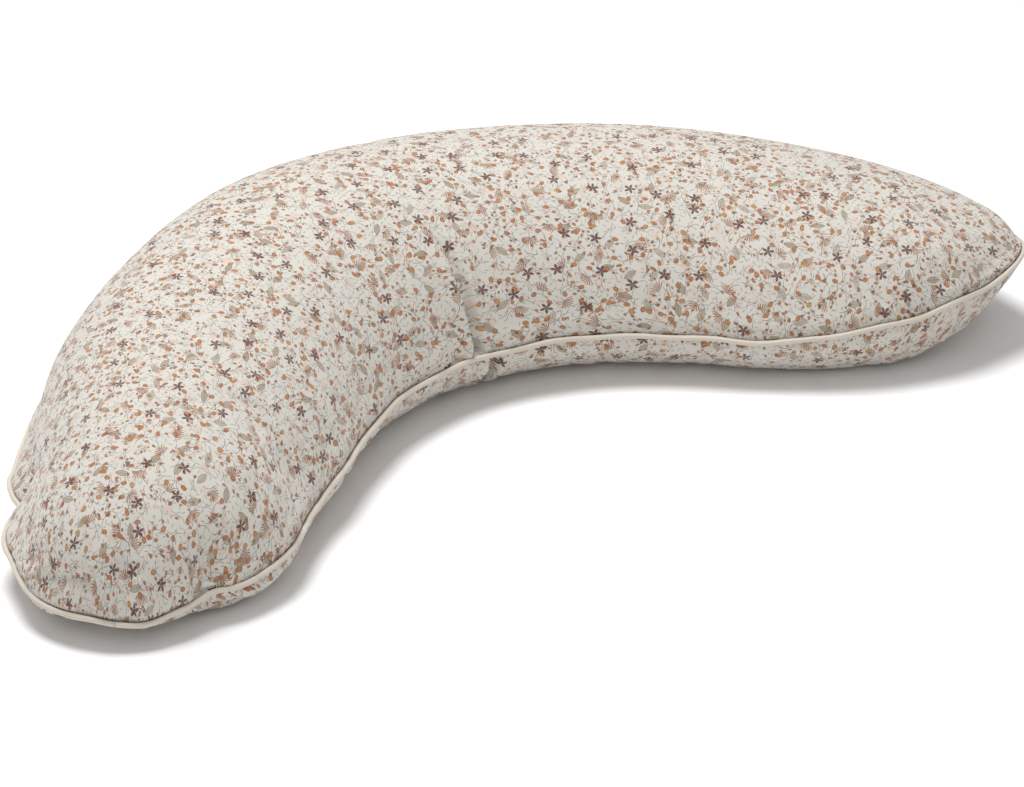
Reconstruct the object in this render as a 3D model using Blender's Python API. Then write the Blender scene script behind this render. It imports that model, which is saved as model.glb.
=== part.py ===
"""Crescent nursing pillow with a removable piped cover, a zip on its back edge and a filled inner pillow.

Metres, +Z up. The pillow lies flat on z = 0, its convex back towards +Y and its arms towards -Y,
with the origin at the bottom centre of its box.
"""
import math

import bmesh
import bpy
import numpy as np

# ---------------------------------------------------------------- driving dimensions
ARM_LENGTH = 0.480           # centre line from the middle to an arm's tip
ARM_TURN = 0.99              # how far each arm has turned at its tip, radians
ARM_STRAIGHTENING = 0.58     # 0 is a plain arc, more makes the arms straighter towards their tips
TIP_DRIFT = 0.0325           # how far the tips lean to the outside of the centre line
HALF_WIDTH = 0.1155          # half of the pillow's width at the middle
WIDTH_GROWTH = (0.10, 0.325) # growth of the half width with the square and fourth power of the way along
TIP_ROUNDING = (4.2, 0.62)   # powers that round the outline at the tips

CROWN_HEIGHT = 0.152
CROWN_GROWTH = (-0.045, -0.25, 0.365)  # with the way along, its square and its fourth power
CROWN_LEAN = -0.10           # shift of the crown across the width, towards the outer side
CROWN_ROUNDING = (2.52, 0.58)
CROWN_TIP_ROUNDING = (2.45, 0.44)

SEAM_HEIGHT = 0.040          # height of the seam at the middle
LEFT_TIP_SEAM_HEIGHT = 0.018
RIGHT_TIP_SEAM_HEIGHT = 0.055
SEAM_TIP_POWER = 4.2
BASE_FLAT_SHARE = 0.6        # share of the half width that lies flat on the floor
BASE_TIP_START = 0.86       # way along at which the base starts to lift towards the tip

FABRIC = 0.0008             # thickness of a cover panel or a case panel
GAP = 0.0003                # clearance between pieces that touch

PIPING_RADIUS = 0.0022
PIPING_WALL = 0.00035
PIPING_CORD_RADIUS = 0.0014
PIPING_FLANGE = 0.008       # depth of the piping's sewn-in leaves
LEAF = 0.00025              # thickness of one leaf
SEAM_HALF_GAP = 0.0009      # half of the space the piping takes between the two panels

CASE_INSET = (0.0125, 0.0025)     # inner case inside the cover: across the width, and above the base
CASE_SEAM_HALF_GAP = 0.0009
FILLING_INSET = (0.0145, 0.0040)

ZIP_HALF_ANGLE = math.radians(21.0)   # chain from the slider's rest to the bottom stop is twice this
ZIP_TAPE_END_ANGLE = math.radians(24.5)
ZIP_BAND = 0.0115           # height of the strip between the seam and the bottom panel's edge
ZIP_BAND_END = 0.295        # way along at which that strip has closed
ZIP_BAND_FULL = 0.255       # way along up to which it is fully open
ZIP_INSET = 0.0036          # tape's plane inside the outline
ZIP_DROP = 0.0063           # zip's centre line below the seam
TAPE = 0.0005
COIL_NEAR, COIL_FAR = 0.0007, 0.0029  # coil's edges from the zip's centre line
COIL_DEPTH = 0.0013
SLIDER_LENGTH = 0.009
TAB_WIDTH, TAB_LENGTH, TAB_THICKNESS = 0.0064, 0.023, 0.0010

COVER_STATIONS, CASE_STATIONS, FILLING_STATIONS = 48, 32, 32
COVER_COLUMNS, CASE_COLUMNS = 8, 6
BASE_WALL_ROWS = 4

COLOURS = {
    "printed_cotton": ((0.72, 0.66, 0.58), 0.9, 0.0),
    "piping_cotton": ((0.80, 0.75, 0.66), 0.85, 0.0),
    "filler_cord": ((0.85, 0.83, 0.78), 0.9, 0.0),
    "zip_tape": ((0.78, 0.74, 0.66), 0.85, 0.0),
    "zip_coil": ((0.80, 0.76, 0.68), 0.4, 0.0),
    "zip_metal": ((0.70, 0.69, 0.67), 0.3, 1.0),
    "case_cotton": ((0.86, 0.84, 0.79), 0.9, 0.0),
    "case_thread": ((0.88, 0.86, 0.82), 0.8, 0.0),
    "fibre_filling": ((0.90, 0.89, 0.86), 1.0, 0.0),
    "label_tape": ((0.90, 0.90, 0.88), 0.6, 0.0),
}


# ---------------------------------------------------------------- the pillow's form
def smooth_step(x):
    x = np.clip(x, 0.0, 1.0)
    return x * x * (3.0 - 2.0 * x)


def heading(along):
    """Angle the centre line has turned, radians: quick at the middle, slower towards the tips."""
    return ARM_TURN * (along * (1.0 + ARM_STRAIGHTENING) - ARM_STRAIGHTENING * along**3)


def outward(along):
    """Unit vector across the pillow, towards its convex side."""
    return np.stack([np.sin(heading(along)), np.cos(heading(along))], axis=-1)


def centre_line(along):
    """Plan position of the centre line, by summing its heading from the middle, plus the tips' drift."""
    fine = np.linspace(-1.0, 1.0, 801)
    step = np.stack([np.cos(heading(fine)), -np.sin(heading(fine))], axis=-1)
    run = np.zeros_like(step)
    run[1:] = np.cumsum((step[1:] + step[:-1]) / 2.0, axis=0) * (fine[1] - fine[0]) * ARM_LENGTH
    run -= run[len(fine) // 2]
    plan = np.stack([np.interp(along, fine, run[:, k]) for k in range(2)], axis=-1)
    return plan + outward(along) * (TIP_DRIFT * np.abs(along) ** 5)[..., None]


def half_width(along):
    growth = 1.0 + WIDTH_GROWTH[0] * along**2 + WIDTH_GROWTH[1] * along**4
    return HALF_WIDTH * growth * np.clip(1.0 - np.abs(along) ** TIP_ROUNDING[0], 0.0, 1.0) ** TIP_ROUNDING[1]


def seam_height(along):
    tip = np.where(along < 0.0, LEFT_TIP_SEAM_HEIGHT, RIGHT_TIP_SEAM_HEIGHT)
    return SEAM_HEIGHT + (tip - SEAM_HEIGHT) * np.abs(along) ** SEAM_TIP_POWER


def crown_rise(along):
    """Height of the crown above the seam."""
    slope, square, fourth = CROWN_GROWTH
    crown = CROWN_HEIGHT * (1.0 + slope * along + square * along**2 + fourth * along**4)
    power, softness = CROWN_TIP_ROUNDING
    return (crown - seam_height(along)) * np.clip(1.0 - np.abs(along) ** power, 0.0, 1.0) ** softness


def base_share(along):
    """1 where the base reaches the floor, falling to 0 at the tips."""
    end = np.clip((np.abs(along) - BASE_TIP_START) / (1.0 - BASE_TIP_START), 0.0, 1.0)
    return np.sqrt(1.0 - end**2)


def stations(count):
    """Ways along from tip to tip, closer together towards the tips."""
    return np.sin(np.linspace(-math.pi / 2, math.pi / 2, count + 1))


def middle_of_depth():
    """Y of the middle of the pillow's box, with the centre line's middle at 0."""
    along = stations(COVER_STATIONS)
    inner = centre_line(along) - outward(along) * half_width(along)[:, None]
    outer = centre_line(along) + outward(along) * half_width(along)[:, None]
    return (min(inner[:, 1].min(), outer[:, 1].min()) + outer[:, 1].max()) / 2.0


MIDDLE_Y = middle_of_depth()


def place(along, across, height, inset):
    """Points at a share across the half width, for a form that lies an inset inside the outline."""
    shrunk = along * (1.0 - inset / ARM_LENGTH)
    width = half_width(along) * (1.0 - inset / HALF_WIDTH)
    plan = centre_line(shrunk) + outward(shrunk) * (width * across)[..., None]
    plan[..., 1] -= MIDDLE_Y
    return np.concatenate([plan, np.broadcast_to(height, across.shape)[..., None]], axis=-1)


def crown_surface(along, columns, inset, drop, rim):
    """Upper surface from rim to rim over the crown; drop lowers the crown, rim lifts the edge."""
    across = np.sin(np.linspace(-math.pi / 2, math.pi / 2, columns + 1))[None, :]
    a = along[:, None]
    power, softness = CROWN_ROUNDING
    leaning = across + CROWN_LEAN * (1.0 - across**2)
    profile = np.clip(1.0 - np.abs(leaning) ** power, 0.0, 1.0) ** softness
    rise = crown_rise(a) * (1.0 - drop / (CROWN_HEIGHT - SEAM_HEIGHT))
    height = seam_height(a) + rim + np.maximum(rise - rim, 0.0) * profile
    return place(np.broadcast_to(a, height.shape), np.broadcast_to(across, height.shape), height, inset)


def zip_band(along):
    """Depth of the strip left open for the zip, on the outer side only."""
    fade = (ZIP_BAND_END - np.abs(along)) / (ZIP_BAND_END - ZIP_BAND_FULL)
    return ZIP_BAND * smooth_step(fade)


def base_surface(along, inset, lift, rim, with_zip):
    """Lower surface: a quarter-round wall from each rim down to a flat middle on the floor."""
    a = along[:, None]
    seam, depth = seam_height(a), np.maximum((seam_height(a) - lift) * base_share(a), rim)
    opening = np.maximum(zip_band(a), rim) if with_zip else np.full_like(a, rim)
    share = np.linspace(0.0, 1.0, BASE_WALL_ROWS + 1)[None, :]

    def wall(drop):
        start = np.arcsin(drop / np.maximum(depth, 1e-9))
        angle = start + (math.pi / 2 - start) * share
        return BASE_FLAT_SHARE + (1.0 - BASE_FLAT_SHARE) * np.cos(angle), seam - depth * np.sin(angle)

    inner_across, inner_height = wall(rim)
    outer_across, outer_height = wall(opening)
    middle = np.zeros_like(a)
    across = np.concatenate([-inner_across, middle, outer_across[:, ::-1]], axis=1)
    height = np.concatenate([inner_height, seam - depth, outer_height[:, ::-1]], axis=1)
    return place(np.broadcast_to(a, height.shape), across, height, inset)


def outline(along, side):
    """Plan position of the outline and its outward unit normal, on the inner (-1) or outer (+1) side."""
    step = 1e-4
    ahead = place(np.clip(along + step, -1, 1), np.full_like(along, side), 0.0, 0.0)[:, :2]
    behind = place(np.clip(along - step, -1, 1), np.full_like(along, side), 0.0, 0.0)[:, :2]
    run = ahead - behind
    run /= np.linalg.norm(run, axis=1)[:, None]
    normal = np.stack([-run[:, 1], run[:, 0]], axis=1) * side
    return place(along, np.full_like(along, side), 0.0, 0.0)[:, :2], normal


def seam_loop(count):
    """Stations round the whole seam: points (N, 3) and outward plan normals (N, 3)."""
    along = stations(count)
    outer, outer_normal = outline(along[1:-1], 1.0)
    inner, inner_normal = outline(along[1:-1], -1.0)
    tips = place(along[[0, -1]], np.zeros(2), 0.0, 0.0)[:, :2]
    heads = heading(along[[0, -1]] * 1.0)
    tip_normals = np.stack([np.cos(heads), -np.sin(heads)], axis=1) * np.array([[-1.0], [1.0]])
    plan = np.concatenate([tips[:1], outer, tips[1:], inner[::-1]])
    normal = np.concatenate([tip_normals[:1], outer_normal, tip_normals[1:], inner_normal[::-1]])
    height = seam_height(np.concatenate([along, along[-2:0:-1]]))
    points = np.concatenate([plan, height[:, None]], axis=1)
    return points, np.concatenate([normal, np.zeros((len(normal), 1))], axis=1)


# the zip follows the circle that the outline makes at the middle of the back
BEND_RADIUS = ARM_LENGTH / (ARM_TURN * (1.0 + ARM_STRAIGHTENING))
ZIP_CENTRE = np.array([0.0, -MIDDLE_Y - BEND_RADIUS])
ZIP_RADIUS = BEND_RADIUS + HALF_WIDTH - ZIP_INSET
ZIP_HEIGHT = SEAM_HEIGHT - ZIP_DROP


# ---------------------------------------------------------------- making solids
def material(slot):
    found = bpy.data.materials.get(slot)
    if found:
        return found
    colour, roughness, metallic = COLOURS[slot]
    made = bpy.data.materials.new(slot)
    made.use_nodes = True
    shader = made.node_tree.nodes["Principled BSDF"]
    shader.inputs["Base Color"].default_value = (*colour, 1.0)
    shader.inputs["Roughness"].default_value = roughness
    shader.inputs["Metallic"].default_value = metallic
    return made


def solid(name, slot, points, faces, origin=(0.0, 0.0, 0.0), parent=None, smooth=True):
    """One closed mesh object; coinciding points are merged and faces turned outward."""
    mesh = bpy.data.meshes.new(name)
    local = np.asarray(points, float) - np.asarray(origin, float)
    mesh.from_pydata([tuple(p) for p in local], [], [tuple(map(int, f)) for f in faces])
    work = bmesh.new()
    work.from_mesh(mesh)
    bmesh.ops.remove_doubles(work, verts=work.verts, dist=1e-6)
    bmesh.ops.recalc_face_normals(work, faces=work.faces)
    work.to_mesh(mesh)
    work.free()
    mesh.materials.append(material(slot))
    if smooth:
        mesh.shade_smooth()
        mesh.set_sharp_from_angle(angle=math.radians(40))
    made = bpy.data.objects.new(name, mesh)
    made.location = origin
    bpy.context.scene.collection.objects.link(made)
    if parent is not None:
        made.parent = parent
        made.location = np.asarray(origin) - np.asarray(parent.location)
    return made


def grid_faces(rows, columns, start=0):
    """Quads of a rows x columns grid of points."""
    first = start + np.arange(rows - 1)[:, None] * columns + np.arange(columns - 1)[None, :]
    return np.stack([first, first + 1, first + columns + 1, first + columns], axis=-1).reshape(-1, 4)


def rim_faces(rows, columns, start_a, start_b):
    """Quads joining the two long edges of two equal grids."""
    down = np.arange(rows - 1) * columns
    made = []
    for column in (0, columns - 1):
        a, b = start_a + column + down, start_b + column + down
        made.append(np.stack([a, a + columns, b + columns, b], axis=-1))
    return np.concatenate(made)


def shell(name, slot, outer, inner):
    """Thin closed sheet between two equal grids that meet in a point at each tip."""
    rows, columns = outer.shape[:2]
    points = np.concatenate([outer.reshape(-1, 3), inner.reshape(-1, 3)])
    count = rows * columns
    faces = np.concatenate([grid_faces(rows, columns), grid_faces(rows, columns, count),
                            rim_faces(rows, columns, 0, count)])
    return solid(name, slot, points, faces)


def sweep(name, slot, points, normals, section, closed, **where):
    """Section of (out, up) pairs carried along a path, with flat caps where the path is open."""
    section = np.asarray(section, float)
    rows, columns = len(points), len(section)
    up = np.array([0.0, 0.0, 1.0])
    ring = points[:, None, :] + normals[:, None, :] * section[None, :, :1] + up * section[None, :, 1:]
    row = np.arange(rows if closed else rows - 1)[:, None]
    column = np.arange(columns)[None, :]
    ahead, beside = (row + 1) % rows, (column + 1) % columns
    quads = np.stack([row * columns + column, row * columns + beside,
                      ahead * columns + beside, ahead * columns + column], axis=-1).reshape(-1, 4)
    faces = [tuple(q) for q in quads]
    if not closed:
        faces += [tuple(range(columns)), tuple((rows - 1) * columns + np.arange(columns))]
    return solid(name, slot, ring.reshape(-1, 3), faces, **where)


def arc(from_angle, to_angle, count):
    """Points on the zip's circle; the angle runs from the middle of the back towards +X."""
    angle = np.linspace(from_angle, to_angle, count + 1)
    normal = np.stack([np.sin(angle), np.cos(angle), np.zeros_like(angle)], axis=1)
    centre = np.array([*ZIP_CENTRE, ZIP_HEIGHT])
    return centre + normal * ZIP_RADIUS, normal


def ring_of(radius, count, start=0.0, end=2 * math.pi, open_end=True):
    """(out, up) pairs round a circle."""
    angle = np.linspace(start, end, count, endpoint=not open_end)
    return [(radius * math.cos(t), radius * math.sin(t)) for t in angle]


# ---------------------------------------------------------------- cover
def make_cover():
    along = stations(COVER_STATIONS)
    shell("cover_top_panel", "printed_cotton",
          crown_surface(along, COVER_COLUMNS, 0.0, 0.0, SEAM_HALF_GAP),
          crown_surface(along, COVER_COLUMNS, FABRIC, FABRIC, SEAM_HALF_GAP))
    shell("cover_bottom_panel", "printed_cotton",
          base_surface(along, 0.0, 0.0, SEAM_HALF_GAP, True),
          base_surface(along, FABRIC, FABRIC, SEAM_HALF_GAP, True))


def make_piping():
    """Bias strip with a keyhole section: a bead round the cord, and two leaves sewn into the seam."""
    points, normals = seam_loop(COVER_STATIONS)
    bead = PIPING_RADIUS + GAP
    leaf_out, leaf_in = LEAF + GAP / 2, GAP / 2
    mouth = math.asin(leaf_out / PIPING_RADIUS)
    slit = math.asin(leaf_in / (PIPING_RADIUS - PIPING_WALL))
    outer = ring_of(PIPING_RADIUS, 9, math.pi - mouth, -math.pi + mouth, False)
    inner = ring_of(PIPING_RADIUS - PIPING_WALL, 8, -math.pi + slit, math.pi - slit, False)
    section = [(-PIPING_FLANGE - bead, leaf_out), *outer, (-PIPING_FLANGE - bead, -leaf_out),
               (-PIPING_FLANGE - bead, -leaf_in), *inner, (-PIPING_FLANGE - bead, leaf_in)]
    section = [(out + bead, up) for out, up in section]
    sweep("piping_sleeve", "piping_cotton", points, normals, section, True)
    cord = [(out + bead, up) for out, up in ring_of(PIPING_CORD_RADIUS, 8, math.pi / 8, math.pi * 17 / 8)]
    sweep("piping_cord", "filler_cord", points, normals, cord, True)


# ---------------------------------------------------------------- inner pillow
def make_inner_pillow():
    along = stations(CASE_STATIONS)
    inset, lift = CASE_INSET
    rim = CASE_SEAM_HALF_GAP
    shell("inner_case_top_panel", "case_cotton",
          crown_surface(along, CASE_COLUMNS, inset, lift, rim),
          crown_surface(along, CASE_COLUMNS, inset + FABRIC, lift + FABRIC, rim))
    shell("inner_case_bottom_panel", "case_cotton",
          base_surface(along, inset, lift, rim, False),
          base_surface(along, inset + FABRIC, lift + FABRIC, rim, False))

    inset, lift = FILLING_INSET
    along = stations(FILLING_STATIONS)
    top = crown_surface(along, CASE_COLUMNS, inset, lift, 0.0)
    base = base_surface(along, inset, lift, 0.0, False)
    points = np.concatenate([top.reshape(-1, 3), base.reshape(-1, 3)])
    faces = np.concatenate([grid_faces(*top.shape[:2]), grid_faces(*base.shape[:2], top.shape[0] * top.shape[1])])
    solid("filling", "fibre_filling", points, faces)


def make_case_seam():
    """Overlock thread between the two case panels, a square cord round their edge."""
    along = stations(CASE_STATIONS)
    inset = CASE_INSET[0] + FABRIC / 2
    half = CASE_SEAM_HALF_GAP - GAP
    loop = np.concatenate([along, along[-2:0:-1]])
    side = np.concatenate([np.ones(len(along)), -np.ones(len(along) - 2)])
    side[[0, len(along) - 1]] = 0.0
    points = place(loop, side, seam_height(loop), inset)
    ahead, behind = np.roll(points, -1, axis=0), np.roll(points, 1, axis=0)
    run = (ahead - behind)[:, :2]
    run /= np.linalg.norm(run, axis=1)[:, None]
    normals = np.stack([-run[:, 1], run[:, 0], np.zeros(len(run))], axis=1)
    section = [(-half, -half), (half, -half), (half, half), (-half, half)]
    sweep("inner_case_seam_thread", "case_thread", points, normals, section, True)


# ---------------------------------------------------------------- zip
def box_section(near, far, low, high):
    return [(near, low), (far, low), (far, high), (near, high)]


def make_zip_chain():
    half_tape = TAPE / 2
    top_edge = ZIP_DROP - SEAM_HALF_GAP - GAP
    upper = arc(-ZIP_TAPE_END_ANGLE, ZIP_TAPE_END_ANGLE, 28)
    sweep("zip_tape_upper", "zip_tape", *upper, box_section(-half_tape, half_tape, COIL_NEAR, top_edge), False)
    turn, foot, foot_out = -0.0050, -0.0100, -0.0032
    lower = [(half_tape, -COIL_NEAR), (-half_tape, -COIL_NEAR), (-half_tape, turn),
             (foot_out - half_tape, foot), (foot_out + half_tape, foot), (half_tape, turn)]
    sweep("zip_tape_lower", "zip_tape", *upper, lower, False)

    coil_low, coil_high = half_tape + GAP, half_tape + GAP + COIL_DEPTH
    chain = arc(-ZIP_HALF_ANGLE - 0.006, ZIP_HALF_ANGLE + 0.016, 28)
    sweep("zip_coil_upper", "zip_coil", *chain, box_section(coil_low, coil_high, COIL_NEAR, COIL_FAR), False)
    sweep("zip_coil_lower", "zip_coil", *chain, box_section(coil_low, coil_high, -COIL_FAR, -COIL_NEAR), False)

    stop_far = coil_high + 0.0004
    top_stop = arc(ZIP_HALF_ANGLE + 0.018, ZIP_HALF_ANGLE + 0.025, 1)
    sweep("zip_top_stop_upper", "zip_metal", *top_stop, box_section(coil_low, stop_far, 0.0004, 0.0033), False)
    sweep("zip_top_stop_lower", "zip_metal", *top_stop, box_section(coil_low, stop_far, -0.0033, -0.0004), False)
    bottom_stop = arc(-ZIP_HALF_ANGLE - 0.017, -ZIP_HALF_ANGLE - 0.008, 1)
    sweep("zip_bottom_stop", "zip_metal", *bottom_stop, box_section(coil_low, stop_far, -0.0033, 0.0033), False)


def slider_frame():
    """Rest pose of the slider: its centre on the tape's plane, outward and tangent vectors."""
    angle = ZIP_HALF_ANGLE
    out = np.array([math.sin(angle), math.cos(angle), 0.0])
    tangent = np.array([math.cos(angle), -math.sin(angle), 0.0])
    return np.array([*ZIP_CENTRE, ZIP_HEIGHT]) + out * ZIP_RADIUS, out, tangent


def block(frame, section, half_length, offset=0.0):
    """Points and faces of an (out, up) section stretched along the slider's tangent."""
    centre, out, tangent = frame
    pairs = np.asarray(section, float)
    flat = centre + pairs[:, :1] * out + pairs[:, 1:] * np.array([0.0, 0.0, 1.0])
    points = np.concatenate([flat + tangent * (offset - half_length), flat + tangent * (offset + half_length)])
    count = len(pairs)
    faces = [tuple(range(count)), tuple(range(2 * count - 1, count - 1, -1))]
    faces += [(k, (k + 1) % count, (k + 1) % count + count, k + count) for k in range(count)]
    return points, faces


def make_slider(travel_pivot):
    """H-shaped body round the chain, with a bridge over its outer plate for the pull."""
    frame = slider_frame()
    origin = np.array([*ZIP_CENTRE, 0.0])
    plate_low, plate_high = 0.00215, 0.00295
    back_high, back_low = -0.00055, -0.00130
    lip, wing, post = 0.00062, 0.0042, 0.0004
    lip_inner = 0.0034
    half = [(back_low, wing), (plate_high, wing)]
    body = [(back_low, -wing), (back_high, -wing), (back_high, -post), (plate_low, -post),
            (plate_low, -lip_inner), (lip, -lip_inner), (lip, -wing), (plate_high, -wing),
            half[1], (lip, wing), (lip, lip_inner), (plate_low, lip_inner), (plate_low, post),
            (back_high, post), (back_high, wing), half[0]]
    points, faces = block(frame, body, SLIDER_LENGTH / 2)
    made = solid("zip_slider_body", "zip_metal", points, faces, origin, travel_pivot, smooth=False)

    foot, top, bar = plate_high - 0.0002, 0.0055, 0.0007
    reach = 0.0030
    bridge = [(foot, -reach), (top - 0.0006, -reach), (top, -reach + 0.0006), (top, reach - 0.0006),
              (top - 0.0006, reach), (foot, reach), (foot, reach - bar), (top - bar, reach - bar),
              (top - bar, -reach + bar), (foot, -reach + bar)]
    points, faces = block(frame, bridge, 0.0012)
    cutter = solid("slider_bridge", "zip_metal", points, faces, origin, travel_pivot, smooth=False)
    union = made.modifiers.new("bridge", "BOOLEAN")
    union.operation, union.object = "UNION", cutter
    cutter.hide_render, cutter.display_type = True, "WIRE"
    return frame, plate_high


def make_pull_tab(frame, plate_high, travel_pivot):
    """Flat pull with a window at its top; its cross bar lies under the slider's bridge."""
    centre, out, tangent = frame
    pivot = centre + out * (plate_high + 0.0009)
    swing_pivot = bpy.data.objects.new("zip_pull_pivot", None)
    bpy.context.scene.collection.objects.link(swing_pivot)
    swing_pivot.location = pivot
    half, window, bar = TAB_WIDTH / 2, 0.0019, 0.0005
    wide = [(-half, bar), (half, bar), (half, -0.0060), (0.0024, -0.0075), (0.0024, -0.0120),
            (half, -TAB_LENGTH + 0.0030), (half - 0.0012, -TAB_LENGTH), (-half + 0.0012, -TAB_LENGTH),
            (-half, -TAB_LENGTH + 0.0030), (-0.0024, -0.0120), (-0.0024, -0.0075), (-half, -0.0060)]
    hole = [(-window, -bar), (-window, -0.0050), (window, -0.0050), (window, -bar)]
    up = np.array([0.0, 0.0, 1.0])

    def layer(pairs, depth):
        pairs = np.asarray(pairs)
        return pivot + tangent * pairs[:, :1] + up * pairs[:, 1:] + out * depth

    parts = []
    for name, pairs, depth in (("zip_pull_tab", wide, TAB_THICKNESS / 2), ("pull_window", hole, TAB_THICKNESS)):
        points = np.concatenate([layer(pairs, -depth), layer(pairs, depth)])
        count = len(pairs)
        faces = [tuple(range(count)), tuple(range(2 * count - 1, count - 1, -1))]
        faces += [(k, (k + 1) % count, (k + 1) % count + count, k + count) for k in range(count)]
        parts.append(solid(name, "zip_metal", points, faces, pivot, swing_pivot, smooth=False))
    tab, cutter = parts
    cut = tab.modifiers.new("window", "BOOLEAN")
    cut.operation, cut.object = "DIFFERENCE", cutter
    cutter.hide_render, cutter.display_type = True, "WIRE"
    swing_pivot.parent = travel_pivot
    swing_pivot.location = pivot - np.asarray(travel_pivot.location)


def make_care_label():
    """Blank label sewn into the seam beside the zip, hanging between the cover and the inner case."""
    points, normals = arc(ZIP_TAPE_END_ANGLE + 0.02, ZIP_TAPE_END_ANGLE + 0.09, 3)
    top, foot = ZIP_DROP - 0.0014, ZIP_DROP - 0.021
    near, far, thick = -0.0035, -0.0075, 0.0004
    section = [(near, top), (near - thick, top), (far - thick, foot), (far, foot)]
    sweep("care_label", "label_tape", points, normals, section, False)


# ---------------------------------------------------------------- build
for stale in list(bpy.data.objects):
    bpy.data.objects.remove(stale, do_unlink=True)

make_cover()
make_piping()
make_inner_pillow()
make_case_seam()
make_zip_chain()
slider_pivot = bpy.data.objects.new("zip_travel_pivot", None)
bpy.context.scene.collection.objects.link(slider_pivot)
slider_pivot.location = (*ZIP_CENTRE, 0.0)
make_pull_tab(*make_slider(slider_pivot), slider_pivot)
make_care_label()
bpy.context.view_layer.update()
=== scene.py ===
import math
import time

import bmesh
import bpy
import numpy as np
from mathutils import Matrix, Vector


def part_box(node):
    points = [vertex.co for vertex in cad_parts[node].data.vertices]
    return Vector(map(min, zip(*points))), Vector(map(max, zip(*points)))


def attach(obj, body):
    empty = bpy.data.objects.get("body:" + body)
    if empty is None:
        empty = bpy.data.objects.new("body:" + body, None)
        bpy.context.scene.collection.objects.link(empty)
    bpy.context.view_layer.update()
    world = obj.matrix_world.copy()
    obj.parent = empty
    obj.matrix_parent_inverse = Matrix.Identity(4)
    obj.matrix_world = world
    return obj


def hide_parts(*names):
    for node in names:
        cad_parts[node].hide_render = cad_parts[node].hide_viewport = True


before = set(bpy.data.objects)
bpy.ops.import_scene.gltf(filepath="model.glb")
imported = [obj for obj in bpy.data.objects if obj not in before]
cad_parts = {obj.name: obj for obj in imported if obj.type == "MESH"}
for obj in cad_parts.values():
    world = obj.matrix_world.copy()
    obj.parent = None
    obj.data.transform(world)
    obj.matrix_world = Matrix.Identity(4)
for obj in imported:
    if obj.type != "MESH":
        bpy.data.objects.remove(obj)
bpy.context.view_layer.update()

started = time.time()


def say(stage):
    print(f"{time.time() - started:6.1f}s  {stage}")


def walked(points, axis=0):
    # way walked along one axis of a path or grid of points, from nothing
    step = np.linalg.norm(np.diff(points, axis=axis), axis=-1)
    nothing = np.zeros_like(np.take(step, [0], axis))
    return np.concatenate([nothing, np.cumsum(step, axis=axis)], axis=axis)


def fromEdge(grid):
    # way along the grid's lines to its nearest edge
    along, down = walked(grid, 1), walked(grid, 0)
    return np.minimum(np.minimum(along, along[:, -1:] - along), np.minimum(down, down[-1:] - down))


def readAlong(at, way, points):
    # points of a path at given ways along it
    return np.stack([np.interp(at, way, points[:, k]) for k in range(points.shape[1])], axis=-1)


def unit(vectors):
    return vectors / np.maximum(np.linalg.norm(vectors, axis=-1), 1e-12)[..., None]


# the pillow's form: the design's own curve, repeated so that fine surfaces can be worked out on it
form = {
    "armLength": 0.480,
    "armTurn": 0.99,
    "armStraightening": 0.58,
    "tipDrift": 0.0325,
    "halfWidth": 0.1155,
    "widthGrowth": (0.10, 0.325),
    "tipRounding": (4.2, 0.62),
    "crownHeight": 0.152,
    "crownGrowth": (-0.045, -0.25, 0.365),
    "crownLean": -0.10,
    "crownRounding": (2.52, 0.58),
    "crownTipRounding": (2.45, 0.44),
    "seamHeight": 0.040,
    "leftTipSeam": 0.018,
    "rightTipSeam": 0.055,
    "seamTipPower": 4.2,
    "flatShare": 0.6,
    "baseTipStart": 0.86,
}
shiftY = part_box("cover_top_panel")[1].y - form["halfWidth"]


def smoothStep(x):
    # 3x^2 - 2x^3 between 0 and 1
    x = np.clip(x, 0.0, 1.0)
    return x * x * (3.0 - 2.0 * x)


def heading(s):
    # angle turned by the centre line at way s: turn times (s(1+k) - k s^3)
    k = form["armStraightening"]
    return form["armTurn"] * (s * (1.0 + k) - k * s**3)


def outward(s):
    # unit vector across the pillow, (sin, cos) of the heading
    return np.stack([np.sin(heading(s)), np.cos(heading(s))], axis=-1)


def centreLine(s):
    # running sum of (cos, -sin) of the heading from the middle, plus a drift with the fifth power of s
    fine = np.linspace(-1.0, 1.0, 801)
    step = np.stack([np.cos(heading(fine)), -np.sin(heading(fine))], axis=-1)
    run = np.zeros_like(step)
    run[1:] = np.cumsum((step[1:] + step[:-1]) / 2.0, axis=0) * (fine[1] - fine[0]) * form["armLength"]
    run -= run[len(fine) // 2]
    plan = readAlong(s, fine, run) + outward(s) * (form["tipDrift"] * np.abs(s) ** 5)[..., None]
    plan[..., 1] += shiftY
    return plan


def halfWidth(s):
    # width grows with s^2 and s^4 and is rounded off at the tips by (1 - |s|^p)^q
    a, b = form["widthGrowth"]
    p, q = form["tipRounding"]
    return form["halfWidth"] * (1.0 + a * s**2 + b * s**4) * np.clip(1.0 - np.abs(s) ** p, 0.0, 1.0) ** q


def seamHeight(s):
    # level at the middle, drawn to each tip's own height with a high power of s
    tip = np.where(s < 0.0, form["leftTipSeam"], form["rightTipSeam"])
    return form["seamHeight"] + (tip - form["seamHeight"]) * np.abs(s) ** form["seamTipPower"]


def crownRise(s):
    # crown height as a quartic in s, above the seam, rounded off at the tips
    one, two, four = form["crownGrowth"]
    p, q = form["crownTipRounding"]
    crown = form["crownHeight"] * (1.0 + one * s + two * s**2 + four * s**4)
    return (crown - seamHeight(s)) * np.clip(1.0 - np.abs(s) ** p, 0.0, 1.0) ** q


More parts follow.
